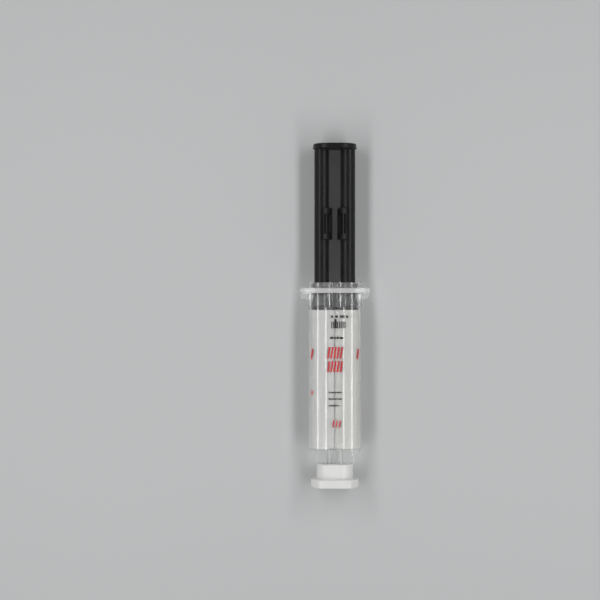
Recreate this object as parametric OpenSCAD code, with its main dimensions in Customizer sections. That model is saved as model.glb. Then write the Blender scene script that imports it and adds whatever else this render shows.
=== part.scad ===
// Twin-barrel epoxy syringe, lying on its back.
// +X runs across the two barrels, +Y towards the thumb plate and +Z up, out of the front.
// The origin is on the table, under the middle of the syringe.
// Each piece is drawn upright: its own +Z runs along the barrels towards the thumb plate,
// zero is the top of the barrel rim, and the front faces its own -Y.

/* [Barrels] */
// Epoxy in each barrel when full, millilitres
charge_ml = 7; // [4:0.1:10]
// Inside diameter of each barrel
bore_d = 11.2; // [10:0.1:13]
// Wall of each barrel
barrel_wall = 1.1; // [0.8:0.1:1.6]
// Plastic left between the two bores where they lie closest
seam_wall = 2.1; // [1.6:0.1:4]
// Depth, front to back, of the web that joins the barrels
web_depth = 3; // [1:0.1:6]

/* [Mouth] */
// Wall of the barrels at the mouth
mouth_wall = 1.5; // [1.2:0.1:2.5]
// Height of the rim above the finger flange
rim_h = 2.8; // [1:0.1:6]
// Height of the collar below the finger flange
collar_h = 7.1; // [3:0.1:12]

/* [Finger flange] */
// Reach of the finger flange beyond the mouth, on each side
flange_wing = 4.15; // [2.5:0.05:9]
// Depth between the flats that the syringe lies on, shared by the flange and the cap foot
flange_depth = 19; // [17:0.1:23]
// Thickness of the finger flange
flange_t = 2.6; // [1.6:0.1:4]
// Thickness of the gusset under each flange tip
gusset_t = 1.4; // [0.8:0.1:3]
// Height of the gussets at the collar
gusset_h = 3.4; // [1:0.1:6]
// Height of the gussets at the flange tip
gusset_tip_h = 2.8; // [0.5:0.1:6]
// Bare flange between a gusset and the flange tip
gusset_margin = 0.5; // [0.3:0.1:2.5]

/* [Outlet] */
// Height of the tapered shoulder that closes the barrels
shoulder_h = 7.2; // [4:0.1:12]
// Width of the shoulder where the nose starts
shoulder_w = 18; // [14:0.1:24]
// Depth of the shoulder where the nose starts
shoulder_depth = 11.6; // [11:0.1:13]
// Wall of the nose outside its ports
nose_wall = 0.85; // [0.6:0.05:1.4]
// Length of the outlet nose
nose_len = 6.5; // [4:0.1:9]
// Diameter of each outlet port
port_d = 2.4; // [1.6:0.1:3]
// Distance from the inner edge of a bore to the edge of its port
port_inset = 0.5; // [0.2:0.1:1]

/* [Plunger] */
// Epoxy left under each piston when the thumb plate stops
residue_len = 3; // [1:0.1:8]
// Room left between thumb plate and rim at the end of the stroke
stop_gap = 0.3; // [0.1:0.1:1]
// Diameter of each plunger rod
rod_d = 7.6; // [6:0.1:8.4]
// Reach of the thumb plate beyond the rods, on each side
thumb_margin = 0.55; // [0.3:0.05:4]
// Depth of the thumb plate
thumb_depth = 16; // [10:0.1:17]
// Thickness of the thumb plate
thumb_t = 2.6; // [1.6:0.1:5]
// Height of the round guide at the foot of each rod
rod_guide_h = 5.4; // [1:0.1:8]
// Diameter of the spigot that plugs into a piston
spigot_d = 5; // [3:0.1:5.6]

/* [Guide pads] */
// Length of the guide pad on the inner side of each rod
pad_len = 16.4; // [8:0.1:24]
// Height of the pads above the rim when the plunger is drawn
pad_lift = 21.8; // [10:0.1:30]
// Width of a pad, from its outer edge to the side facing the other rod
pad_w = 5.1; // [4:0.1:6]
// Height of the plain bar at each end of a pad
pad_bar = 3; // [1:0.1:3.5]
// Width of the rail along the outer edge of a pad
rail_w = 2.5; // [1.5:0.1:2.8]
// Width of the groove along the middle of a rail
rail_groove_w = 0.7; // [0.4:0.1:1]
// Depth of the rail groove below the crown of the pad
rail_groove_depth = 0.9; // [0.6:0.1:1.2]
// Depth of the hollow beside the rail below the crown of the pad
pad_hollow_depth = 2.6; // [1.2:0.1:2.7]

/* [Pistons] */
// Distance from the rim down to the top of the pistons when the plunger is drawn
piston_inset = 6.1; // [3:0.1:12]
// Length of each piston
piston_len = 8; // [6:0.1:14]
// Thickness of a piston between its face and the end of the spigot
piston_floor = 3.4; // [3:0.1:5]
// Diameter of a piston at its top, from where it widens to the full bore
piston_neck_d = 7.8; // [7.6:0.1:9.8]
// Full-width plastic above the groove of the seal ring
piston_lip = 0.6; // [0.3:0.1:2]
// Radius of the seal ring's round section
ring_r = 0.85; // [0.5:0.05:1.1]
// Distance from the piston face to the middle of its seal ring
ring_inset = 1.4; // [1.3:0.1:2.2]

/* [Outlet cap] */
// Wall of the cap in front of and behind the nose
cap_wall = 1.3; // [1:0.1:2.5]
// Reach of the cap's rounded sides beyond that wall
cap_wing = 3; // [1:0.1:6]
// Thickness of the cap between its socket and the hollow under its foot
cap_floor = 3.7; // [1.5:0.1:6]
// Diameter of the round foot of the cap
foot_d = 24.4; // [23.5:0.1:34]
// Thickness of the foot
foot_t = 4.4; // [2.5:0.1:7]
// Room between the cap and the shoulder
cap_gap = 0.3; // [0.1:0.1:1]
// Length of the cap's plugs inside the ports
plug_len = 3; // [1:0.1:4]
// Diameter of the hollow under the foot
hollow_d = 13; // [6:0.1:16]
// Depth of the hollow under the foot
hollow_depth = 1.8; // [0.5:0.1:3]
// Distance between the two grip grooves on a face
groove_pitch = 7.5; // [5:0.1:9]
// Width of a grip groove
groove_w = 0.8; // [0.4:0.1:1.5]
// Depth of a grip groove
groove_depth = 0.7; // [0.2:0.1:0.8]

/* [Label] */
// Thickness of the wrapped film
film_t = 0.2; // [0.1:0.05:0.4]
// Depth of the film between the barrels below their crowns
film_dip = 1.8; // [0.3:0.05:3]
// Bare barrel between the collar and the film
film_top_margin = 1.9; // [1:0.1:20]
// Bare barrel between the film and the shoulder
film_end_margin = 1.3; // [0.5:0.1:10]

/* [Clearances] */
// Room around a piston in its bore
piston_clear = 0.05; // [0.02:0.01:0.1]
// Room around a seal ring in its bore and in its groove
ring_clear = 0.03; // [0.02:0.01:0.05]
// Room around a rod's guide and guide pad in the bore
guide_clear = 0.15; // [0.1:0.05:0.4]
// Room around a spigot in its piston
spigot_clear = 0.05; // [0.02:0.01:0.1]
// Room around the nose in the cap
nose_clear = 0.1; // [0.05:0.01:0.3]
// Room around a plug in its port
plug_clear = 0.05; // [0.02:0.01:0.1]
// Room between the epoxy and the wall of its bore
charge_clear = 0.05; // [0.02:0.01:0.1]
// Room between the film and the barrels
film_clear = 0.06; // [0.03:0.01:0.2]

/* [Hidden] */
$fn = 96;
cut_over = 1;

pitch = bore_d + seam_wall;
barrel_d = bore_d + 2 * barrel_wall;
mouth_d = bore_d + 2 * mouth_wall;
guide_d = bore_d - 2 * guide_clear;
flange_w = pitch + mouth_d + 2 * flange_wing;
thumb_w = pitch + rod_d + 2 * thumb_margin;
port_pitch = seam_wall + port_d + 2 * port_inset;
nose_d = port_pitch + port_d + 2 * nose_wall;
socket_d = nose_d + 2 * nose_clear;
cap_depth = socket_d + 2 * cap_wall;
cap_w = cap_depth + 2 * cap_wing;
spigot_len = piston_len - piston_floor;

charge_len = 1000 * charge_ml / (PI * pow(bore_d / 2, 2));
stroke = charge_len - residue_len;

flange_top = -rim_h;
flange_under = flange_top - flange_t;
collar_end = flange_under - collar_h;
piston_top = -piston_inset;
piston_face = piston_top - piston_len;
bore_end = piston_face - charge_len;
shoulder_end = bore_end - shoulder_h;
nose_end = shoulder_end - nose_len;
cap_top = shoulder_end - cap_gap;
socket_end = nose_end - cap_gap;
cap_end = socket_end - cap_floor - hollow_depth;
foot_top = cap_end + foot_t;
thumb_under = stroke + stop_gap;
thumb_top = thumb_under + thumb_t;
film_top = collar_end - film_top_margin;
film_end = bore_end + film_end_margin;
mid_length = (thumb_top + cap_end) / 2;

clear_plastic = [0.86, 0.88, 0.87, 0.55];
film_colour = [0.93, 0.94, 0.93, 0.45];
black_plastic = [0.06, 0.06, 0.065];
white_plastic = [0.93, 0.93, 0.91];
piston_grey = [0.24, 0.245, 0.25];
seal_black = [0.03, 0.03, 0.03];
resin_colour = [0.93, 0.93, 0.88, 0.6];
hardener_colour = [0.93, 0.89, 0.76, 0.6];

// Lays an upright piece on its back, with the flats of the flange on the table.
module lying() {
    translate([0, -mid_length, flange_depth / 2])
        rotate([-90, 0, 0])
            children();
}

// Repeats a shape on the axis of both barrels.
module on_both_axes() {
    for (side = [-1, 1])
        translate([side * pitch / 2, 0, 0])
            children();
}

// An outline extruded between two heights.
module between(low, high) {
    translate([0, 0, low])
        linear_extrude(high - low)
            children();
}

// A round bar between two heights.
module bar(d, low, high) {
    translate([0, 0, low])
        cylinder(d = d, h = high - low);
}

// Two circles and the block between them.
module stadium(width, depth) {
    for (side = [-1, 1])
        translate([side * (width - depth) / 2, 0])
            circle(d = depth);
    square([width - depth, depth], center = true);
}

// A disc with two flats, front and back.
module flatted_disc(d, depth) {
    intersection() {
        circle(d = d);
        square([2 * d, depth], center = true);
    }
}

// A slab of one thickness, cut to a tapering outline seen from the front.
module taper_front(top_w, end_w, top, end, thickness) {
    rotate([90, 0, 0])
        linear_extrude(thickness, center = true)
            polygon([[-top_w / 2, top], [top_w / 2, top], [end_w / 2, end], [-end_w / 2, end]]);
}

// The tapered block that closes both barrels.
module shoulder() {
    full_w = pitch + barrel_d;
    intersection() {
        between(shoulder_end, bore_end) stadium(full_w, barrel_d);
        taper_front(full_w, shoulder_w, bore_end, shoulder_end, 2 * barrel_d);
        rotate([0, 0, 90])
            taper_front(barrel_d, shoulder_depth, bore_end, shoulder_end, 2 * full_w);
    }
}

// One stiffening gusset under each tip of the finger flange.
module gussets() {
    root_x = pitch / 2 + bore_d / 2 + mouth_wall / 2;
    tip_x = flange_w / 2 - gusset_margin;
    for (side = [0, 1])
        mirror([side, 0, 0])
            rotate([90, 0, 0])
                linear_extrude(gusset_t, center = true)
                    polygon([
                        [root_x, flange_top - flange_t / 2],
                        [tip_x, flange_top - flange_t / 2],
                        [tip_x, flange_under - gusset_tip_h],
                        [root_x, flange_under - gusset_h]
                    ]);
}

module twin_barrel() {
    color(clear_plastic)
        lying()
            difference() {
                union() {
                    on_both_axes() bar(barrel_d, bore_end, collar_end);
                    between(bore_end, collar_end) square([pitch, web_depth], center = true);
                    between(collar_end, 0) stadium(pitch + mouth_d, mouth_d);
                    between(flange_under, flange_top) flatted_disc(flange_w, flange_depth);
                    gussets();
                    shoulder();
                    bar(nose_d, nose_end, bore_end - shoulder_h / 2);
                }
                on_both_axes() bar(bore_d, bore_end, cut_over);
                for (side = [-1, 1])
                    translate([side * port_pitch / 2, 0, 0])
                        bar(port_d, nose_end - cut_over, bore_end + cut_over);
            }
}

// The film follows each barrel and crosses the valley between them flat.
module film_outline(d) {
    on_both_axes() circle(d = d);
    square([pitch, d - 2 * film_dip], center = true);
}

module label_film() {
    inner = barrel_d + 2 * film_clear;
    color(film_colour)
        lying()
            between(film_end, film_top)
                difference() {
                    film_outline(inner + 2 * film_t);
                    film_outline(inner);
                }
}

module outlet_cap() {
    color(white_plastic)
        lying() {
            difference() {
                union() {
                    between(foot_top, cap_top) stadium(cap_w, cap_depth);
                    between(cap_end, foot_top) flatted_disc(foot_d, flange_depth);
                }
                bar(socket_d, socket_end, cap_top + cut_over);
                bar(hollow_d, cap_end - cut_over, cap_end + hollow_depth);
                for (x = [-1, 1], y = [-1, 1])
                    translate([x * groove_pitch / 2, y * cap_depth / 2, 0])
                        between(foot_top, cap_top + cut_over)
                            square([groove_w, 2 * groove_depth], center = true);
            }
            for (side = [-1, 1])
                translate([side * port_pitch / 2, 0, 0])
                    bar(port_d - 2 * plug_clear, socket_end, nose_end + plug_len);
        }
}

// The pad on the inner side of the right-hand rod, with a grooved rail and a hollow, front and back.
module guide_pad() {
    pad_x = guide_d / 2 - pad_w;
    frame_h = pad_len - 2 * pad_bar;
    intersection() {
        bar(guide_d, pad_lift, pad_lift + pad_len);
        difference() {
            translate([-guide_d, -guide_d, pad_lift])
                cube([guide_d - pad_x, 2 * guide_d, pad_len]);
            for (face = [0, 1])
                mirror([0, face, 0])
                    translate([-pad_x, guide_d / 2, pad_lift + pad_bar]) {
                        translate([-guide_d - rail_w, -pad_hollow_depth, 0])
                            cube([guide_d, guide_d, frame_h]);
                        translate([-(rail_w + rail_groove_w) / 2, -rail_groove_depth, 0])
                            cube([rail_groove_w, guide_d, frame_h]);
                    }
        }
    }
}

module plunger() {
    color(black_plastic)
        lying() {
            between(thumb_under, thumb_top) stadium(thumb_w, thumb_depth);
            on_both_axes() {
                bar(rod_d, piston_top, thumb_under);
                bar(guide_d, piston_top, piston_top + rod_guide_h);
                bar(spigot_d, piston_top - spigot_len, piston_top);
            }
            for (side = [0, 1])
                mirror([side, 0, 0])
                    translate([pitch / 2, 0, 0])
                        guide_pad();
        }
}

// A piston that widens from its neck, with a socket for the spigot and a groove for its seal ring.
module piston(side) {
    socket_bottom = piston_top - spigot_len - spigot_clear;
    ring_mid = piston_face + ring_inset;
    groove_low = ring_mid - ring_r - ring_clear;
    groove_high = ring_mid + ring_r + ring_clear;
    groove_d = bore_d - 4 * (ring_r + ring_clear);
    full_d = bore_d - 2 * piston_clear;
    full_top = groove_high + piston_lip;
    color(piston_grey)
        lying()
            translate([side * pitch / 2, 0, 0])
                difference() {
                    union() {
                        bar(full_d, piston_face, full_top);
                        translate([0, 0, full_top])
                            cylinder(d1 = full_d, d2 = piston_neck_d, h = piston_top - full_top);
                    }
                    bar(spigot_d + 2 * spigot_clear, socket_bottom, piston_top + cut_over);
                    difference() {
                        bar(bore_d + cut_over, groove_low, groove_high);
                        bar(groove_d, groove_low - cut_over, groove_high + cut_over);
                    }
                }
}

// A round-section ring that seals a piston in its bore.
module seal_ring(side) {
    color(seal_black)
        lying()
            translate([side * pitch / 2, 0, piston_face + ring_inset])
                rotate_extrude()
                    translate([bore_d / 2 - ring_clear - ring_r, 0])
                        circle(r = ring_r, $fn = 48);
}

// One column of epoxy, from the piston face to the end of its bore.
module charge(side, colour) {
    color(colour)
        lying()
            translate([side * pitch / 2, 0, 0])
                bar(bore_d - 2 * charge_clear, bore_end, piston_face);
}

module resin_piston() piston(-1);
module hardener_piston() piston(1);
module resin_seal_ring() seal_ring(-1);
module hardener_seal_ring() seal_ring(1);
module resin_charge() charge(-1, resin_colour);
module hardener_charge() charge(1, hardener_colour);

twin_barrel();
label_film();
outlet_cap();
plunger();
resin_piston();
hardener_piston();
resin_seal_ring();
hardener_seal_ring();
resin_charge();
hardener_charge();
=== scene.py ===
import math

import bmesh
import bpy
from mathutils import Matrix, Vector


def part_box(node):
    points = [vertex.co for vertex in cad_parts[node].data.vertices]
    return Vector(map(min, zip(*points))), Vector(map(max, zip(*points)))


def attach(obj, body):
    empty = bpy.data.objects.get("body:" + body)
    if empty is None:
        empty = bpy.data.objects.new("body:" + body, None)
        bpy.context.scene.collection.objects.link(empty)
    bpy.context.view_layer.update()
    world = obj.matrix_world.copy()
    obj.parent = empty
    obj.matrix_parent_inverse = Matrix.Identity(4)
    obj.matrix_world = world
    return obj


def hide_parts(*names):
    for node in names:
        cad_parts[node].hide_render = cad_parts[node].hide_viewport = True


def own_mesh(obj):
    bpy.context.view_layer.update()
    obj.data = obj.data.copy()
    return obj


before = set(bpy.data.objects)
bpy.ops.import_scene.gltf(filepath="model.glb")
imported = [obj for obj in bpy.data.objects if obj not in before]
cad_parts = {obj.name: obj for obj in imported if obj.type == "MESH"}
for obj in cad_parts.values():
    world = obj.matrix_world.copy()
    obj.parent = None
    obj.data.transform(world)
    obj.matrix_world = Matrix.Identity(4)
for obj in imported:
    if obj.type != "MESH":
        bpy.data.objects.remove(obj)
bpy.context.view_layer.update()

# Lengths are millimetres in the frame's directions, and meshes are scaled to metres as they are made.
# An outline is a closed row of (x, v) points, where v is the height above the plane of the barrel axes.
# In the names below, an edge is a rounded outer corner, a fillet or corner a rounded inner one, and an
# inset how far a rounded face's flat lies inside its outline.
MM = 0.001
X, Y, Z = range(3)
SIDES = (-1, 1)


def span(node, axis):
    """The lowest and highest place of a CAD node along one axis."""
    low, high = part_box(node)
    return low[axis] / MM, high[axis] / MM


# Stations along the syringe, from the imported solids.
NOSE_END, RIM_TOP = span("twin_barrel", Y)
BORE_END, PISTON_FACE = span("resin_charge", Y)
PISTON_TOP = span("resin_piston", Y)[1]
RING_LOW, RING_HIGH = span("resin_seal_ring", Y)
FILM_END, FILM_TOP = span("label_film", Y)
CAP_END, CAP_TOP = span("outlet_cap", Y)
THUMB_TOP = span("plunger", Y)[1]
FLANGE_W = 2 * span("twin_barrel", X)[1]
FLANGE_DEPTH = span("twin_barrel", Z)[1]
AXIS_Z = FLANGE_DEPTH / 2

# Barrels and the web between them.
HALF_PITCH = 6.65
BORE_R = 5.6
BARREL_R = 6.7
WEB_HALF = 1.5
BODY_HALF_W = HALF_PITCH + BARREL_R

# Rim, finger flange and collar.
MOUTH_R = 7.1
RIM_H = 2.8
FLANGE_T = 2.6
COLLAR_H = 7.1
FLANGE_TOP = RIM_TOP - RIM_H
FLANGE_UNDER = FLANGE_TOP - FLANGE_T
COLLAR_END = FLANGE_UNDER - COLLAR_H
PLATE_EDGE = 0.6

# Gussets under the tips of the flange.
GUSSET_HALF_T = 0.7
GUSSET_H = 3.4
GUSSET_TIP_H = 2.8
GUSSET_SHORT = 0.5
GUSSET_TIP = FLANGE_W / 2 - GUSSET_SHORT
GUSSET_ROOT_SUNK = 0.4
GUSSET_TIP_EDGE = 0.8
GUSSET_EDGE = 0.25
GUSSET_EDGE_STEPS = 4

# Shoulder, nose and outlet ports.
SHOULDER_H = 7.2
SHOULDER_END = BORE_END - SHOULDER_H
SHOULDER_HALF_W = 9.0
SHOULDER_HALF_D = 5.8
SHOULDER_STEPS = 10
SHOULDER_EASE = 6  # rounds of smoothing
NOSE_R = 4.8
PORT_R = 1.2
PORT_X = 2.75
PORT_EDGE = 0.2
PORT_EDGE_STEPS = 3
PORT_STEPS = 48

# Pistons and seal rings.
PISTON_R = 5.55
PISTON_NECK_R = 3.9
PISTON_LIP = 0.6
PISTON_EDGE = 0.25
PISTON_BEND = 0.3
POLE_R = 0.01  # a turned shape stops just short of its axis
RING_CLEAR = 0.03
RING_R = (RING_HIGH - RING_LOW) / 2
RING_MID = (RING_HIGH + RING_LOW) / 2
RING_MAJOR = BORE_R - RING_CLEAR - RING_R
RING_STEPS = 40
GROOVE_R = 3.84
GROOVE_LOW = RING_LOW - RING_CLEAR
GROOVE_HIGH = RING_HIGH + RING_CLEAR
GROOVE_EDGE = 0.1
GROOVE_CORNER = 0.15
SPIGOT_LEN = 4.6
SOCKET_R = 2.55
SOCKET_CLEAR = 0.05
SOCKET_END = PISTON_TOP - SPIGOT_LEN - SOCKET_CLEAR
SOCKET_ROUND = 0.2

# Thumb plate and rods of the plunger.
THUMB_T = 2.6
THUMB_UNDER = THUMB_TOP - THUMB_T
THUMB_HALF = 3.0
THUMB_R = 8.0
THUMB_STEPS = 12
THUMB_UNDER_EDGE = 0.5
THUMB_UNDER_INSET = 0.7
THUMB_TOP_EDGE = 0.7
THUMB_TOP_INSET = 0.8
ROD_R = 3.8
ROD_ROOT_R = ROD_R + 0.75
ROD_ROOT_FILLET = 0.7
ROD_SUNK = 0.5
GUIDE_R = 5.45
GUIDE_H = 5.4
GUIDE_TOP = PISTON_TOP + GUIDE_H
GUIDE_FOOT_EDGE = 0.25
GUIDE_TOP_EDGE = 0.4
GUIDE_FILLET = 0.6
SPIGOT_R = 2.5
SPIGOT_FOOT = PISTON_TOP - SPIGOT_LEN
SPIGOT_EDGE = 0.3
SPIGOT_FILLET = 0.2

# Guide pads, measured across from the axis of their rod.
PAD_LIFT = 21.8
PAD_LEN = 16.4
PAD_LOW = RIM_TOP + PAD_LIFT
PAD_HIGH = PAD_LOW + PAD_LEN
PAD_FROM_X = -0.35
PAD_BAR = 3.0
PAD_CHAMFER = 0.25
PAD_SOFT = 0.12  # bevel along the edges of the rail
PAD_STEPS = 40
PAD_HOLLOW_V = GUIDE_R - 2.6
RAIL_W = 2.5
RAIL_TO_X = PAD_FROM_X - RAIL_W
RAIL_GROOVE_X = (PAD_FROM_X + RAIL_TO_X) / 2
RAIL_GROOVE_HALF = 0.35
RAIL_GROOVE_V = GUIDE_R - 0.9
END_WALL = 0.1  # slope of the walls at the end bars
STEP_HALF = 0.01  # half the slope of the walls along the rail
STEP_XS = (RAIL_GROOVE_X + RAIL_GROOVE_HALF, RAIL_GROOVE_X - RAIL_GROOVE_HALF, RAIL_TO_X)

# Outlet cap.
CAP_HALF = 3.0
CAP_R = 6.2
CAP_STEPS = 112
CAP_EDGE = 0.5
CAP_TOP_INSET = 0.6
FOOT_R = 12.2
FOOT_H = 4.4
FOOT_TOP = CAP_END + FOOT_H
FOOT_EDGE = 0.6
FOOT_INSET = 0.7
FOOT_FILLET = 0.6
NOSE_CLEAR = 0.3
CAP_SOCKET_R = 4.9
CAP_SOCKET_END = NOSE_END - NOSE_CLEAR
CAP_SOCKET_CORNER = 0.3
CAP_MOUTH_R = CAP_SOCKET_R + 0.4
CAP_MOUTH_EDGE = 0.35
PLUG_R = 1.15
PLUG_LEN = 3.0
PLUG_TOP = NOSE_END + PLUG_LEN
PLUG_FILLET = 0.25
PLUG_EDGE = 0.3
PLUG_TIP_R = PLUG_R - 0.35
PLUG_EDGE_STEPS = 3
PLUG_STEPS = 40
HOLLOW_R = 6.5
HOLLOW_DEPTH = 1.8
HOLLOW_TOP = CAP_END + HOLLOW_DEPTH
HOLLOW_MOUTH_R = HOLLOW_R + 0.4
HOLLOW_EDGE = 0.3
HOLLOW_CORNER = 0.5
GATE_R = 0.6
GATE_TIP_R = 0.5
GATE_H = 0.3
GRIP_X = 3.75
GRIP_HALF_W = 0.4
GRIP_DEPTH = 0.7
GRIP_SLOPE = 0.35  # share of a groove's half width that slopes

# Label film and the strip where it overlaps itself at the back.
FILM_R = 6.96
FILM_T = 0.2
FILM_DIP = 1.8
FILM_BLEND = 24  # a higher power turns more sharply into the dip
LAP_T = 0.2
LAP_START = -1.5
LAP_W = 9.0
LAP_STEPS = 24
LAP_XS = [LAP_W * k / LAP_STEPS + LAP_START for k in range(LAP_STEPS + 1)]

# Rounding of edges, and steps round curves.
EDGE = 0.35
FILLET = 0.5
CORNER_STEPS = 5
FLAT_EASE = 2  # rounds of smoothing
ARC_STEPS = 56
TURN_STEPS = 96
SAME_PLACE = 1e-4  # points closer than this are one
SMOOTH_ANGLE = math.radians(34)

# The valley between the barrels, with places across it from right to left.
VALLEY_STEPS = 16
VALLEY_BLEND = 8  # a higher power turns more sharply into the valley
VALLEY_TURN = math.pi / 2 - math.asin(WEB_HALF / BARREL_R)
VALLEY_RIGHT = [
    HALF_PITCH + BARREL_R * math.cos(math.pi / 2 + VALLEY_TURN * k / VALLEY_STEPS)
    for k in range(1, VALLEY_STEPS + 1)
]
VALLEY_XS = VALLEY_RIGHT + [-x for x in reversed(VALLEY_RIGHT)]


# Outlines

def outline(half, r, xs, side):
    """Two half circles of radius r, centred at +half and -half, joined through the points (x, side(x))."""
    turns = [math.pi * (k / ARC_STEPS - 0.5) for k in range(ARC_STEPS + 1)]
    right = [(half + r * math.cos(a), r * math.sin(a)) for a in turns]
    front = [(x, side(x)) for x in xs]
    loop = right + front
    return loop + [(-x, -v) for x, v in loop]


def slab(half, r, steps):
    """Two half circles joined by flat sides."""
    xs = [half * (1 - 2 * k / steps) for k in range(1, steps)]
    return outline(half, r, xs, lambda x: r)


def stadium(r):
    """The outline that wraps both barrels, with flat sides."""
    return outline(HALF_PITCH, r, VALLEY_XS, lambda x: r)


def barrel_side(r, x):
    """The height of a circle of radius r round the nearer barrel axis."""
    return math.sqrt(max(r * r - (abs(x) - HALF_PITCH) ** 2, 0))


def blended(a, b, power):
    """The larger of two heights, with a soft change from one to the other."""
    return (a ** power + b ** power) ** (1 / power)


def twin(r):
    """Both barrels and the web between them, with the valley rounded where they meet."""
    return outline(HALF_PITCH, r, VALLEY_XS, lambda x: blended(barrel_side(r, x), WEB_HALF, VALLEY_BLEND))


def film_side(r, x):
    """The height of the film's front at a place across it, on the barrels or over the valley between them."""
    on_barrel = barrel_side(r, x)
    if abs(x) >= HALF_PITCH:
        return on_barrel
    return blended(on_barrel, r - FILM_DIP, FILM_BLEND)


def film_outline(r):
    """The outline that follows both barrels and crosses the valley between them."""
    return outline(HALF_PITCH, r, VALLEY_XS, lambda x: film_side(r, x))


def eased(points, rounds):
    """A loop with its corners smoothed, each point drawn towards its two neighbours."""
    for _ in range(rounds):
        after = points[1:] + points[:1]
        before = points[-1:] + points[:-1]
        points = [
            tuple((a + 2 * b + c) / 4 for a, b, c in zip(*trio))
            for trio in zip(before, points, after)
        ]
    return points


def clamped(points, half_w, half_d):
    """A loop cut back to a width and a depth."""
    return [
        (max(-half_w, min(half_w, x)), max(-half_d, min(half_d, v)))
        for x, v in points
    ]


def round_like(points, r):
    """A circle with a point in the same direction as each point of a loop."""
    return [(r * math.cos(a), r * math.sin(a)) for a in (math.atan2(v, x) for x, v in points)]


def flatted(points, r, half_d):
    """A disc with two flats, point by point in the directions of a loop."""
    return eased(clamped(round_like(points, r), r, half_d), FLAT_EASE)


def circle(r, cx=0.0, steps=TURN_STEPS):
    """A circle round (cx, 0)."""
    return [
        (cx + r * math.cos(2 * math.pi * k / steps), r * math.sin(2 * math.pi * k / steps))
        for k in range(steps)
    ]


def rounded(corners, steps=CORNER_STEPS):
    """A path through (a, b, radius) corners, with an arc of that radius at each."""
    path = []
    for i, (a, b, r) in enumerate(corners):
        here = Vector((a, b))
        if not r:
            path.append((a, b))
            continue
        before = (Vector(corners[i - 1][:2]) - here).normalized()
        after = (Vector(corners[i + 1][:2]) - here).normalized()
        half = before.angle(after) / 2
        centre = here + (before + after).normalized() * (r / math.sin(half))
        start = here + before * (r / math.tan(half)) - centre
        end = here + after * (r / math.tan(half)) - centre
        first = math.atan2(start.y, start.x)
        turn = math.remainder(math.atan2(end.y, end.x) - first, 2 * math.pi)
        for k in range(steps + 1):
            angle = first + turn * k / steps
            path.append((centre.x + r * math.cos(angle), centre.y + r * math.sin(angle)))
    apart = [path[0]]
    for point in path[1:]:
        if math.dist(point, apart[-1]) > SAME_PLACE:
            apart.append(point)
    return apart


# Meshes

def ring(bm, points, y):
    """One loop of vertices at a station along the syringe."""
    return [bm.verts.new((x * MM, y * MM, (AXIS_Z + v) * MM)) for x, v in points]


def skin(bm, rings, look=0):
    """Quads between each ring and the next, in one of the piece's materials."""
    for a, b in zip(rings, rings[1:]):
        for i in range(len(a)):
            j = (i + 1) % len(a)
            bm.faces.new((a[i], a[j], b[j], b[i])).material_index = look


def solid(bm, rings, look=0):
    """A skin over a row of rings, closed by a face at each end."""
    skin(bm, rings, look)
    for loop in (rings[0], rings[-1]):
        bm.faces.new(loop).material_index = look


def fill(bm, *loops):
    """A flat face bounded by the first loop, with the other loops as holes."""
    edges = []
    for loop in loops:
        for i in range(len(loop)):
            edge = bm.edges.get((loop[i - 1], loop[i]))
            edges.append(edge or bm.edges.new((loop[i - 1], loop[i])))
    bmesh.ops.triangle_fill(bm, use_beauty=True, use_dissolve=False, edges=edges)


def turned(bm, profile, cx=0.0, steps=TURN_STEPS):
    """The rings of a turned shape, from a row of (radius, y)."""
    return [ring(bm, circle(r, cx, steps), y) for r, y in profile]


def lathe(bm, profile, cx=0.0, steps=TURN_STEPS):
    """A turned wall with open ends, and its rings."""
    rings = turned(bm, profile, cx, steps)
    skin(bm, rings)
    return rings


def shaded(mesh):
    """Smooth shading that keeps the sharp edges."""
    mesh.shade_smooth()
    mesh.set_sharp_from_angle(angle=SMOOTH_ANGLE)


def new_object(name, bm):
    """An object from a finished bmesh, with its faces turned outwards."""
    bmesh.ops.recalc_face_normals(bm, faces=bm.faces)
    mesh = bpy.data.meshes.new(name)
    bm.to_mesh(mesh)
    bm.free()
    shaded(mesh)
    obj = bpy.data.objects.new(name, mesh)
    bpy.context.scene.collection.objects.link(obj)
    return obj


def joined(base, parts):
    """Base and the parts as one skin, with what lies inside removed."""
    for part in parts:
        cut = base.modifiers.new("join", "BOOLEAN")
        cut.operation = "UNION"
        cut.solver = "EXACT"
        cut.object = part
    made = base.evaluated_get(bpy.context.evaluated_depsgraph_get())
    mesh = bpy.data.meshes.new_from_object(made)
    base.modifiers.clear()
    base.data = mesh
    for part in parts:
        bpy.data.objects.remove(part)
    shaded(mesh)
    return base


def dress(obj, body, slot, look, *nodes):
    """Gives a piece its body and material, and hides the CAD nodes that it stands for; its slot is not used.

    A piece that already has materials keeps them.
    """
    if not obj.data.materials:
        obj.data.materials.append(look)
    even = obj.modifiers.new("even_normals", "WEIGHTED_NORMAL")
    even.keep_sharp = True
    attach(obj, body)
    if nodes:
        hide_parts(*nodes)
    return obj


# Materials

CLOUD_SCALE = 160.0
CLOUD_DETAIL = 4.0
TINT_RANGE = (0.32, 0.72)
DULL_RANGE = (0.3, 0.7)
GRAIN_SCALE = 2600.0
GRAIN_DETAIL = 3.0


def socket(node, name, value):
    """Sets an input of a shader node."""
    node.inputs[name].default_value = value


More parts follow.
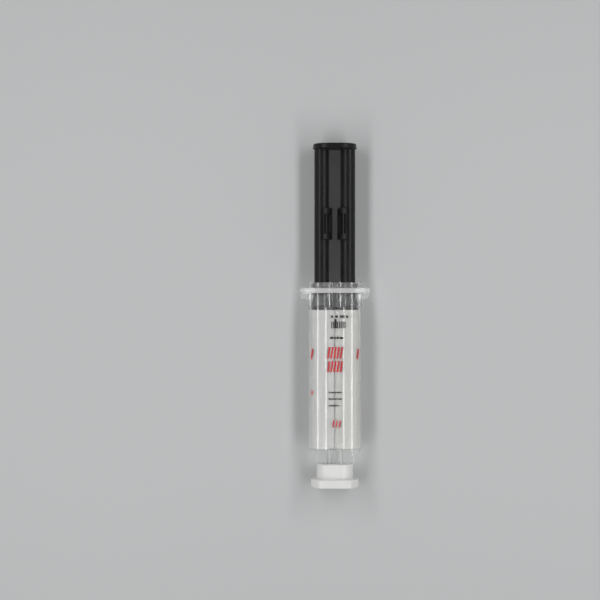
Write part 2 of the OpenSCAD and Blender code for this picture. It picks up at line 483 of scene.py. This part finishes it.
def plastic(name, colour, mottle, rough, grain, **extra):
    """A moulded surface: two close colours in soft clouds, uneven roughness and a fine grain.

    rough is the least and the most roughness, and grain the strength of the grain and its height.
    """
    look = bpy.data.materials.new(name)
    look.use_nodes = True
    nodes, links = look.node_tree.nodes, look.node_tree.links
    shader = nodes["Principled BSDF"]
    place = nodes.new("ShaderNodeTexCoord")

    clouds = nodes.new("ShaderNodeTexNoise")
    socket(clouds, "Scale", CLOUD_SCALE)
    socket(clouds, "Detail", CLOUD_DETAIL)
    links.new(place.outputs["Object"], clouds.inputs["Vector"])

    tint = nodes.new("ShaderNodeValToRGB")
    for stop, position, shade in zip(tint.color_ramp.elements, TINT_RANGE, (colour, mottle)):
        stop.position = position
        stop.color = (*shade, 1)
    links.new(clouds.outputs["Fac"], tint.inputs["Fac"])
    links.new(tint.outputs["Color"], shader.inputs["Base Color"])

    dull = nodes.new("ShaderNodeMapRange")
    socket(dull, "From Min", DULL_RANGE[0])
    socket(dull, "From Max", DULL_RANGE[1])
    socket(dull, "To Min", rough[0])
    socket(dull, "To Max", rough[1])
    links.new(clouds.outputs["Fac"], dull.inputs["Value"])
    links.new(dull.outputs["Result"], shader.inputs["Roughness"])

    fine = nodes.new("ShaderNodeTexNoise")
    socket(fine, "Scale", GRAIN_SCALE)
    socket(fine, "Detail", GRAIN_DETAIL)
    links.new(place.outputs["Object"], fine.inputs["Vector"])
    bump = nodes.new("ShaderNodeBump")
    socket(bump, "Strength", grain[0])
    socket(bump, "Distance", grain[1] * MM)
    links.new(fine.outputs["Fac"], bump.inputs["Height"])
    links.new(bump.outputs["Normal"], shader.inputs["Normal"])

    for key, value in extra.items():
        socket(shader, key.replace("_", " "), value)
    return look


clear_plastic = plastic(
    "clear_plastic", colour=(0.975, 0.98, 0.975), mottle=(0.965, 0.972, 0.966),
    rough=(0.05, 0.12), grain=(0.2, 0.02), Transmission_Weight=0.98, IOR=1.49,
)
frosted_plastic = plastic(
    "frosted_plastic", colour=(0.95, 0.955, 0.95), mottle=(0.90, 0.905, 0.90),
    rough=(0.30, 0.44), grain=(0.5, 0.05), Transmission_Weight=0.48, IOR=1.49,
)
hazy_plastic = plastic(
    "hazy_plastic", colour=(0.95, 0.955, 0.95), mottle=(0.92, 0.925, 0.92),
    rough=(0.22, 0.34), grain=(0.35, 0.04), Transmission_Weight=0.91, IOR=1.49,
)
film_clear = plastic(
    "film_clear", colour=(0.93, 0.935, 0.93), mottle=(0.90, 0.905, 0.90),
    rough=(0.14, 0.22), grain=(0.25, 0.02), Alpha=0.06, IOR=1.5,
)
black_plastic = plastic(
    "black_plastic", colour=(0.0065, 0.0062, 0.0062), mottle=(0.010, 0.0095, 0.0092),
    rough=(0.34, 0.46), grain=(0.35, 0.03), Specular_IOR_Level=0.25,
)
white_plastic = plastic(
    "white_plastic", colour=(0.80, 0.80, 0.785), mottle=(0.76, 0.76, 0.745),
    rough=(0.36, 0.48), grain=(0.35, 0.03),
)
piston_grey = plastic(
    "piston_grey", colour=(0.045, 0.047, 0.05), mottle=(0.035, 0.036, 0.038),
    rough=(0.4, 0.52), grain=(0.3, 0.03),
)
seal_rubber = plastic(
    "seal_rubber", colour=(0.014, 0.014, 0.014), mottle=(0.02, 0.02, 0.02),
    rough=(0.5, 0.65), grain=(0.4, 0.03),
)
resin_clear = plastic(
    "resin_clear", colour=(0.97, 0.97, 0.955), mottle=(0.965, 0.965, 0.95),
    rough=(0.0, 0.02), grain=(0.0, 0.01), Transmission_Weight=0.6, IOR=1.5,
)
hardener_clear = plastic(
    "hardener_clear", colour=(0.97, 0.96, 0.925), mottle=(0.965, 0.955, 0.92),
    rough=(0.0, 0.02), grain=(0.0, 0.01), Transmission_Weight=0.6, IOR=1.5,
)
ink_black = plastic(
    "ink_black", colour=(0.015, 0.015, 0.016), mottle=(0.03, 0.03, 0.031),
    rough=(0.3, 0.4), grain=(0.2, 0.01),
)
ink_red = plastic(
    "ink_red", colour=(0.62, 0.035, 0.04), mottle=(0.55, 0.028, 0.034),
    rough=(0.3, 0.4), grain=(0.2, 0.01),
)


# Barrel moulding, clear with a frosted flange and a hazy rim and gussets

BARREL_LOOKS = (clear_plastic, frosted_plastic, hazy_plastic)
CLEAR, FROSTED, HAZY = range(len(BARREL_LOOKS))


def barrel_shell(bm):
    """The outside of the moulding, from the rim to the tip of the nose. Gives its first and last rings."""
    wrap = stadium(MOUTH_R)
    rim = rounded([
        (EDGE, RIM_TOP, 0), (0, RIM_TOP, EDGE),
        (0, FLANGE_TOP, FILLET), (-FILLET, FLANGE_TOP, 0),
    ])
    rim_rings = [ring(bm, stadium(MOUTH_R - a), y) for a, y in rim]
    skin(bm, rim_rings, HAZY)

    plate = rounded([
        (PLATE_EDGE, FLANGE_TOP, 0), (0, FLANGE_TOP, PLATE_EDGE),
        (0, FLANGE_UNDER, PLATE_EDGE), (PLATE_EDGE, FLANGE_UNDER, 0),
    ])
    plate_rings = [
        ring(bm, flatted(wrap, FLANGE_W / 2 - a, FLANGE_DEPTH / 2 - a), y)
        for a, y in plate
    ]
    collar = rounded([
        (-FILLET, FLANGE_UNDER, 0), (0, FLANGE_UNDER, FILLET),
        (0, COLLAR_END, EDGE), (EDGE, COLLAR_END, 0),
    ])
    rings = [ring(bm, stadium(MOUTH_R - a), y) for a, y in collar]
    skin(bm, rim_rings[-1:] + plate_rings + rings[:1], FROSTED)

    rings += [ring(bm, twin(BARREL_R), y) for y in (COLLAR_END, BORE_END)]
    body = stadium(BARREL_R)
    rings.append(ring(bm, body, BORE_END))
    for k in range(1, SHOULDER_STEPS + 1):
        share = k / SHOULDER_STEPS
        half_w = BODY_HALF_W + share * (SHOULDER_HALF_W - BODY_HALF_W)
        half_d = BARREL_R + share * (SHOULDER_HALF_D - BARREL_R)
        y = BORE_END + share * (SHOULDER_END + EDGE - BORE_END)
        rings.append(ring(bm, eased(clamped(body, half_w, half_d), SHOULDER_EASE), y))
    last = clamped(body, SHOULDER_HALF_W - EDGE, SHOULDER_HALF_D - EDGE)
    rings.append(ring(bm, eased(last, SHOULDER_EASE), SHOULDER_END))
    nose = rounded([
        (NOSE_R + FILLET, SHOULDER_END, 0), (NOSE_R, SHOULDER_END, FILLET),
        (NOSE_R, NOSE_END, EDGE), (NOSE_R - EDGE, NOSE_END, 0),
    ])
    rings += [ring(bm, round_like(body, r), y) for r, y in nose]
    skin(bm, rings, CLEAR)
    return rim_rings[0], rings[-1]


def gusset(side):
    """The stiffening web under one tip of the flange, with rounded edges."""
    bm = bmesh.new()
    root = HALF_PITCH + MOUTH_R - GUSSET_ROOT_SUNK
    top = FLANGE_UNDER + GUSSET_ROOT_SUNK
    edges = rounded([
        (GUSSET_EDGE, -GUSSET_HALF_T, 0), (0, -GUSSET_HALF_T, GUSSET_EDGE),
        (0, GUSSET_HALF_T, GUSSET_EDGE), (GUSSET_EDGE, GUSSET_HALF_T, 0),
    ], GUSSET_EDGE_STEPS)
    loops = []
    for inset, v in edges:
        tip = GUSSET_TIP - inset
        corners = rounded([
            (root, top, 0), (tip, top, 0),
            (tip, FLANGE_UNDER - GUSSET_TIP_H + inset, GUSSET_TIP_EDGE),
            (root, FLANGE_UNDER - GUSSET_H + inset, 0),
        ])
        loops.append([
            bm.verts.new((side * x * MM, y * MM, (AXIS_Z + v) * MM))
            for x, y in corners
        ])
    solid(bm, loops, HAZY)
    return new_object("gusset", bm)


def barrel():
    """The moulding with its bores, ports and flange gussets."""
    bm = bmesh.new()
    top, tip = barrel_shell(bm)
    bore = rounded([
        (BORE_R + EDGE, RIM_TOP, 0), (BORE_R, RIM_TOP, EDGE),
        (BORE_R, BORE_END, FILLET), (BORE_R - FILLET, BORE_END, 0),
    ])
    port = rounded([
        (PORT_R + PORT_EDGE, BORE_END, 0), (PORT_R, BORE_END, PORT_EDGE),
        (PORT_R, NOSE_END, PORT_EDGE), (PORT_R + PORT_EDGE, NOSE_END, 0),
    ], PORT_EDGE_STEPS)
    lips, outlets = [], []
    for side in SIDES:
        wall = lathe(bm, bore, side * HALF_PITCH)
        way = lathe(bm, port, side * PORT_X, PORT_STEPS)
        fill(bm, wall[-1], way[0])
        lips.append(wall[0])
        outlets.append(way[-1])
    fill(bm, top, *lips)
    fill(bm, tip, *outlets)
    shell = new_object("barrel_moulding", bm)
    webs = [gusset(side) for side in SIDES]
    for part in (shell, *webs):
        for look in BARREL_LOOKS:
            part.data.materials.append(look)
    return joined(shell, webs)


# The moulding casts no shadow, so that the lamps reach its contents.
moulding = dress(barrel(), "barrel", "clear_plastic", clear_plastic, "twin_barrel")
moulding.visible_shadow = False


# Contents

COLUMN_R = BORE_R + 0.02


def column(name, side, slot, look, node):
    """One column of epoxy, wetting the wall of its bore, with a mesh of its own; in the real syringe it
    shortens as the plunger goes in.
    """
    bm = bmesh.new()
    profile = rounded([
        (COLUMN_R - FILLET, BORE_END, 0), (COLUMN_R, BORE_END, FILLET), (COLUMN_R, PISTON_FACE, 0),
    ])
    solid(bm, turned(bm, profile, side * HALF_PITCH))
    obj = dress(new_object(name, bm), "barrel", slot, look, node)
    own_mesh(obj)


column("resin_column", -1, "resin", resin_clear, "resin_charge")
column("hardener_column", 1, "hardener", hardener_clear, "hardener_charge")


# Pistons and seal rings

def piston(name, side, node):
    """A piston with a groove for its ring, a tapered back and a socket for the spigot."""
    bm = bmesh.new()
    profile = rounded([
        (POLE_R, PISTON_FACE, 0), (PISTON_R, PISTON_FACE, PISTON_EDGE),
        (PISTON_R, GROOVE_LOW, GROOVE_EDGE), (GROOVE_R, GROOVE_LOW, GROOVE_CORNER),
        (GROOVE_R, GROOVE_HIGH, GROOVE_CORNER), (PISTON_R, GROOVE_HIGH, GROOVE_EDGE),
        (PISTON_R, GROOVE_HIGH + PISTON_LIP, PISTON_BEND), (PISTON_NECK_R, PISTON_TOP, PISTON_EDGE),
        (SOCKET_R, PISTON_TOP, SOCKET_ROUND), (SOCKET_R, SOCKET_END, SOCKET_ROUND),
        (POLE_R, SOCKET_END, 0),
    ])
    solid(bm, turned(bm, profile, side * HALF_PITCH))
    dress(new_object(name, bm), "plunger", "piston_plastic", piston_grey, node)


def seal_ring(name, side, node):
    """The round rubber ring in the groove of a piston."""
    bm = bmesh.new()
    turns = [2 * math.pi * k / RING_STEPS for k in range(RING_STEPS)]
    profile = [(RING_MAJOR + RING_R * math.cos(a), RING_MID + RING_R * math.sin(a)) for a in turns]
    rings = turned(bm, profile, side * HALF_PITCH)
    skin(bm, rings + rings[:1])
    dress(new_object(name, bm), "plunger", "seal_rubber", seal_rubber, node)


for side, kind in zip(SIDES, ("resin", "hardener")):
    piston(f"{kind}_piston_head", side, f"{kind}_piston")
    seal_ring(f"{kind}_o_ring", side, f"{kind}_seal_ring")


# Plunger

def pad_height(x, r):
    """How far a pad reaches to the front, across its grooved rail and its hollow."""
    crown = math.sqrt(max(r * r - x * x, 0))
    into_groove = RAIL_GROOVE_HALF - abs(x - RAIL_GROOVE_X)
    if x < RAIL_TO_X:
        return min(crown, PAD_HOLLOW_V)
    if into_groove > 0:
        return min(crown, RAIL_GROOVE_V)
    return crown - max(0, PAD_SOFT - min(x - RAIL_TO_X, -into_groove))


def pad_outline(inset, framed):
    """The inner half of the guide circle, for the right-hand rod, plain or cut as inside the pad's frame."""
    r = GUIDE_R - inset
    first = math.acos((PAD_FROM_X - inset) / r)
    turns = [first + (math.pi - first) * k / PAD_STEPS for k in range(PAD_STEPS + 1)]
    for x in STEP_XS:
        turns += [math.acos((x + off) / r) for off in (PAD_SOFT, STEP_HALF, -STEP_HALF, -PAD_SOFT)]
    front = []
    for a in sorted(turns):
        x = r * math.cos(a)
        front.append((x, pad_height(x, r) if framed else r * math.sin(a)))
    return front + [(x, -v) for x, v in front[-2::-1]]


def pad(side):
    """The guide pad of one rod, with a rail and a hollow between its end bars, front and back."""
    bm = bmesh.new()
    low, high = PAD_LOW + PAD_BAR, PAD_HIGH - PAD_BAR
    stations = [
        (PAD_LOW, PAD_CHAMFER, False), (PAD_LOW + PAD_CHAMFER, 0, False),
        (low, 0, False), (low + END_WALL, 0, True),
        (high - END_WALL, 0, True), (high, 0, False),
        (PAD_HIGH - PAD_CHAMFER, 0, False), (PAD_HIGH, PAD_CHAMFER, False),
    ]
    solid(bm, [
        ring(bm, [(side * (HALF_PITCH + x), v) for x, v in pad_outline(inset, framed)], y)
        for y, inset, framed in stations
    ])
    return new_object("pad", bm)


def rod(side):
    """One round rod with its guide and spigot at the foot and a fillet under the thumb plate."""
    bm = bmesh.new()
    profile = rounded([
        (SPIGOT_R - SPIGOT_EDGE, SPIGOT_FOOT, 0), (SPIGOT_R, SPIGOT_FOOT, SPIGOT_EDGE),
        (SPIGOT_R, PISTON_TOP, SPIGOT_FILLET), (GUIDE_R, PISTON_TOP, GUIDE_FOOT_EDGE),
        (GUIDE_R, GUIDE_TOP, GUIDE_TOP_EDGE), (ROD_R, GUIDE_TOP, GUIDE_FILLET),
        (ROD_R, THUMB_UNDER, ROD_ROOT_FILLET), (ROD_ROOT_R, THUMB_UNDER, 0),
        (ROD_ROOT_R, THUMB_UNDER + ROD_SUNK, 0),
    ])
    solid(bm, turned(bm, profile, side * HALF_PITCH))
    return new_object("rod", bm)


def thumb_plate():
    """The plate across the tops of the rods, with rounded edges."""
    bm = bmesh.new()
    profile = rounded([
        (THUMB_UNDER_INSET, THUMB_UNDER, 0), (0, THUMB_UNDER, THUMB_UNDER_EDGE),
        (0, THUMB_TOP, THUMB_TOP_EDGE), (THUMB_TOP_INSET, THUMB_TOP, 0),
    ])
    solid(bm, [ring(bm, slab(THUMB_HALF, THUMB_R - a, THUMB_STEPS), y) for a, y in profile])
    return new_object("plunger_moulding", bm)


dress(
    joined(thumb_plate(), [rod(-1), rod(1), pad(-1), pad(1)]),
    "plunger", "black_plastic", black_plastic, "plunger",
)


# Outlet cap

def cap_outline(inset, grooved):
    """The body of the cap, with or without its grip grooves."""
    r = CAP_R - inset
    points = slab(CAP_HALF, r, CAP_STEPS)
    if not grooved:
        return points
    cut = []
    for x, v in points:
        off = abs(abs(x) - GRIP_X) / GRIP_HALF_W
        if off < 1 and abs(v) > CAP_R / 2:
            depth = GRIP_DEPTH * min(1.0, (1 - off) / GRIP_SLOPE)
            v = math.copysign(min(abs(v), r - depth), v)
        cut.append((x, v))
    return cut


def cap():
    """The push-on cap, with its wide foot, a socket and two plugs inside, and a hollow under the foot."""
    bm = bmesh.new()
    body = rounded([
        (CAP_TOP_INSET, CAP_TOP, 0), (0, CAP_TOP, CAP_EDGE),
        (0, FOOT_TOP, FOOT_FILLET), (-FOOT_FILLET, FOOT_TOP, 0),
    ])
    rings = [ring(bm, cap_outline(a, a >= 0), y) for a, y in body]
    foot = rounded([
        (FOOT_INSET, FOOT_TOP, 0), (0, FOOT_TOP, FOOT_EDGE),
        (0, CAP_END, FOOT_EDGE), (FOOT_INSET, CAP_END, 0),
    ])
    base = cap_outline(0, False)
    rings += [ring(bm, flatted(base, FOOT_R - a, FLANGE_DEPTH / 2 - a), y) for a, y in foot]
    skin(bm, rings)

    inside = lathe(bm, rounded([
        (CAP_MOUTH_R, CAP_TOP, 0), (CAP_SOCKET_R, CAP_TOP, CAP_MOUTH_EDGE),
        (CAP_SOCKET_R, CAP_SOCKET_END, CAP_SOCKET_CORNER),
        (CAP_SOCKET_R - CAP_SOCKET_CORNER, CAP_SOCKET_END, 0),
    ]))
    plug = rounded([
        (PLUG_R + PLUG_FILLET, CAP_SOCKET_END, 0), (PLUG_R, CAP_SOCKET_END, PLUG_FILLET),
        (PLUG_R, PLUG_TOP, PLUG_EDGE), (PLUG_TIP_R, PLUG_TOP, 0),
    ], PLUG_EDGE_STEPS)
    plug_feet = []
    for side in SIDES:
        plug_rings = lathe(bm, plug, side * PORT_X, PLUG_STEPS)
        bm.faces.new(plug_rings[-1])
        plug_feet.append(plug_rings[0])
    fill(bm, rings[0], inside[0])
    fill(bm, inside[-1], *plug_feet)

    hollow = lathe(bm, rounded([
        (HOLLOW_MOUTH_R, CAP_END, 0), (HOLLOW_R, CAP_END, HOLLOW_EDGE),
        (HOLLOW_R, HOLLOW_TOP, HOLLOW_CORNER), (GATE_R, HOLLOW_TOP, 0),
        (GATE_TIP_R, HOLLOW_TOP - GATE_H, 0),
    ]))
    bm.faces.new(hollow[-1])
    fill(bm, rings[-1], hollow[0])
    return new_object("outlet_plug_cap", bm)


dress(cap(), "cap", "white_plastic", white_plastic, "outlet_cap")


# Label

INK_LIFTS = (-0.02, 0.025)
INK_ACROSS = 5
INK_ALONG = 5

# Rows of dashes: where the row starts across, its foot, its height, the gaps and the lengths.
DASH_ROWS = (
    (-1.95, -1.2, 1.3, 1.1, (1.0, 1.3, 2.0, 1.0)),
    (-2.4, -12.0, 1.2, 0.4, (1.5, 0.9, 1.2, 1.6)),
    (-3.0, -39.6, 0.8, 0.35, (0.8, 1.3, 0.7, 1.1, 0.9)),
    (-3.0, -42.9, 0.8, 0.35, (1.2, 0.7, 1.0, 0.8, 1.1)),
    (-3.0, -46.3, 0.8, 0.35, (0.9, 1.1, 1.3, 0.7)),
)

# A row of upright bars, each with its width and height.
BAR_START = -1.6
BAR_STEP = 0.95
BAR_FOOT = -6.5
BAR = (0.5, 3.4)
TALL_BAR = (1.1, 4.8)
BARS = (BAR, BAR, TALL_BAR, BAR, BAR, BAR, BAR, BAR)

# Rows of leaning stripes: their places across, foot, width, height and lean.
BLOCK_XS = [-3.6 + 1.6 * k for k in range(5)]
STRIPE_ROWS = (
    (BLOCK_XS, -22.0, 0.95, 6.0, 0.9),
    (BLOCK_XS, -28.8, 0.95, 5.6, 0.8),
    ((-12.0, 11.4), -22.2, 0.8, 5.2, 0.6),
    ((-1.0, 0.6, 2.2), -57.0, 0.7, 3.6, 0.5),
    ((-11.8,), -40.4, 0.7, 2.2, 0.3),
)


def film():
    """The wrapped film, with its overlap down the back."""
    bm = bmesh.new()
    outer, inner = film_outline(FILM_R), film_outline(FILM_R - FILM_T)
    rings = [
        ring(bm, loop, y)
        for loop, y in ((outer, FILM_TOP), (outer, FILM_END), (inner, FILM_END), (inner, FILM_TOP))
    ]
    skin(bm, rings + rings[:1])
    sunk = [(x, LAP_T / 2 - film_side(FILM_R, x)) for x in reversed(LAP_XS)]
    proud = [(x, -LAP_T / 2 - film_side(FILM_R, x)) for x in LAP_XS]
    solid(bm, [ring(bm, sunk + proud, y) for y in (FILM_END, FILM_TOP)])
    return new_object("label_wrap", bm)


def stripe(bm, x, y, width, height, lean=0.0):
    """A printed bar on the film, with its foot centred at (x, y) and its top leaning to the right."""
    borders = []
    for lift in INK_LIFTS:
        grid = []
        for j in range(INK_ALONG + 1):
            share = j / INK_ALONG
            row = []
            for i in range(INK_ACROSS + 1):
                at = x + width * (i / INK_ACROSS - 0.5) + lean * share
                v = film_side(FILM_R, at) + lift
                row.append(bm.verts.new((at * MM, (y + height * share) * MM, (AXIS_Z + v) * MM)))
            grid.append(row)
        for a, b in zip(grid, grid[1:]):
            for i in range(INK_ACROSS):
                bm.faces.new((a[i], a[i + 1], b[i + 1], b[i]))
        left = [row[0] for row in grid]
        right = [row[-1] for row in grid]
        borders.append(grid[0] + right[1:] + grid[-1][-2::-1] + left[-2:0:-1])
    skin(bm, borders)


def print_black():
    """Rows of dashes, and a row of upright bars."""
    bm = bmesh.new()
    for x, foot, height, gap, lengths in DASH_ROWS:
        for length in lengths:
            stripe(bm, x + length / 2, foot, length, height)
            x += length + gap
    for k, (width, height) in enumerate(BARS):
        stripe(bm, BAR_START + k * BAR_STEP, BAR_FOOT, width, height)
    return new_object("label_print_black", bm)


def print_red():
    """Rows of leaning stripes."""
    bm = bmesh.new()
    for xs, foot, width, height, lean in STRIPE_ROWS:
        for x in xs:
            stripe(bm, x, foot, width, height, lean)
    return new_object("label_print_red", bm)


dress(film(), "barrel", "label_film", film_clear, "label_film")
dress(print_black(), "barrel", "label_film", ink_black)
dress(print_red(), "barrel", "label_film", ink_red)


# Stage, light and camera. Floor and lamp sizes are in metres.

WHITE = (1, 1, 1, 1)
FLOOR_HALF = 3.0
FLOOR_COLOUR = (0.56, 0.565, 0.57, 1)
FLOOR_ROUGH = 0.9
FLOOR_LIFT = 0.4
LIFT_FROM = 0.22
LIFT_TO = 1.0
WALLS = 0.35
CEILING = 0.10
CEILING_FROM = 0.3
CEILING_TO = 0.75
LAMP_X = 0.30
LAMP_Z = 0.41
LAMP_SIZE = (0.1, 0.9)
LAMP_WATTS = 1.65


def seen_rays(nodes, links):
    """One where a ray comes from the camera, a gloss or clear plastic, and nothing for rays that light."""
    path = nodes.new("ShaderNodeLightPath")
    total = path.outputs["Is Camera Ray"]
    for kind in ("Is Glossy Ray", "Is Transmission Ray"):
        either = nodes.new("ShaderNodeMath")
        either.operation = "MAXIMUM"
        links.new(total, either.inputs[0])
        links.new(path.outputs[kind], either.inputs[1])
        total = either.outputs[0]
    return total


def stage_floor():
    """A pale floor, kept from darkening far from the lamps."""
    bm = bmesh.new()
    bmesh.ops.create_grid(bm, x_segments=1, y_segments=1, size=FLOOR_HALF)
    floor = new_object("floor", bm)
    look = bpy.data.materials.new("floor_pale")
    look.use_nodes = True
    nodes, links = look.node_tree.nodes, look.node_tree.links
    shader = nodes["Principled BSDF"]
    socket(shader, "Base Color", FLOOR_COLOUR)
    socket(shader, "Roughness", FLOOR_ROUGH)
    socket(shader, "Specular IOR Level", 0.0)
    place = nodes.new("ShaderNodeTexCoord")
    away = nodes.new("ShaderNodeVectorMath")
    away.operation = "LENGTH"
    links.new(place.outputs["Object"], away.inputs[0])
    far = nodes.new("ShaderNodeMapRange")
    far.interpolation_type = "SMOOTHSTEP"
    socket(far, "From Min", LIFT_FROM)
    socket(far, "From Max", LIFT_TO)
    socket(far, "To Max", FLOOR_LIFT)
    links.new(away.outputs["Value"], far.inputs["Value"])
    lift = nodes.new("ShaderNodeMath")
    lift.operation = "MULTIPLY"
    links.new(seen_rays(nodes, links), lift.inputs[0])
    links.new(far.outputs["Result"], lift.inputs[1])
    socket(shader, "Emission Color", WHITE)
    links.new(lift.outputs[0], shader.inputs["Emission Strength"])
    floor.data.materials.append(look)


def studio():
    """White walls all round under a darker ceiling."""
    world = bpy.data.worlds.new("studio")
    bpy.context.scene.world = world
    world.use_nodes = True
    nodes, links = world.node_tree.nodes, world.node_tree.links
    place = nodes.new("ShaderNodeTexCoord")
    parts = nodes.new("ShaderNodeSeparateXYZ")
    links.new(place.outputs["Generated"], parts.inputs["Vector"])
    height = nodes.new("ShaderNodeMapRange")
    height.interpolation_type = "SMOOTHSTEP"
    socket(height, "From Min", CEILING_FROM)
    socket(height, "From Max", CEILING_TO)
    socket(height, "To Min", WALLS)
    socket(height, "To Max", CEILING)
    links.new(parts.outputs["Z"], height.inputs["Value"])
    links.new(height.outputs["Result"], nodes["Background"].inputs["Strength"])
    socket(nodes["Background"], "Color", WHITE)


def softbox(name, x):
    """A long lamp beside the syringe, turned to face it."""
    data = bpy.data.lights.new(name, "AREA")
    data.shape = "RECTANGLE"
    data.size, data.size_y = LAMP_SIZE
    data.energy = LAMP_WATTS
    lamp = bpy.data.objects.new(name, data)
    bpy.context.scene.collection.objects.link(lamp)
    lamp.location = (x, 0, LAMP_Z)
    lamp.rotation_euler = (0, math.atan2(x, LAMP_Z), 0)
    lamp.visible_camera = False


stage_floor()
studio()
softbox("lamp_left", -LAMP_X)
softbox("lamp_right", LAMP_X)

# The camera looks straight down. The picture is square, its scale is given at the barrel axes, and its
# middle lies to the left of the syringe.
PICTURE_PIXELS = 600
PIXEL = 0.512
SENSOR = 36
LENS = 100
VIEW_X = -17.8
VIEW_Y = 7.9
VIEW_DISTANCE = PICTURE_PIXELS * PIXEL * LENS / SENSOR

camera_data = bpy.data.cameras.new("camera")
camera_data.sensor_width = SENSOR
camera_data.lens = LENS
camera = bpy.data.objects.new("camera", camera_data)
camera.location = (VIEW_X * MM, VIEW_Y * MM, (AXIS_Z + VIEW_DISTANCE) * MM)

# Light passes many clear walls on its way through the barrels.
BOUNCES = 24
CLEAR_BOUNCES = 20

scene = bpy.context.scene
scene.collection.objects.link(camera)
scene.camera = camera
scene.view_settings.view_transform = "Standard"
scene.cycles.max_bounces = BOUNCES
scene.cycles.transmission_bounces = CLEAR_BOUNCES
scene.cycles.transparent_max_bounces = BOUNCES
